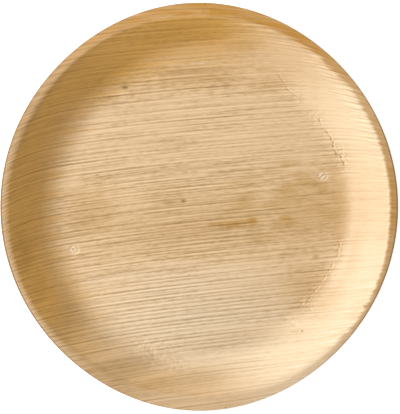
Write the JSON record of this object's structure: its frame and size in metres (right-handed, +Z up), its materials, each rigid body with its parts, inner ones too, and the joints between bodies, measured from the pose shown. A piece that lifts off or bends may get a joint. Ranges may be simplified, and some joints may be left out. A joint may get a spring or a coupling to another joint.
{
  "type": "palm leaf plate",
  "caption": "Round disposable dinner plate pressed from palm leaf sheath, with a flat floor, a sloping wall and a narrow trimmed lip.",
  "frame": {"origin": "middle of the plate's bounding box in plan, on the table it stands on", "axes": "+Z up out of the plate's hollow, X along the grain of the leaf, +Y across the grain"},
  "size_m": [0.2468, 0.2532, 0.0235],
  "materials": {
    "palm_leaf": "dry pressed palm leaf sheath, fine fibres along X, satin"
  },
  "bodies": {
    "root": {"plate": "palm_leaf"}
  },
  "joints": []
}
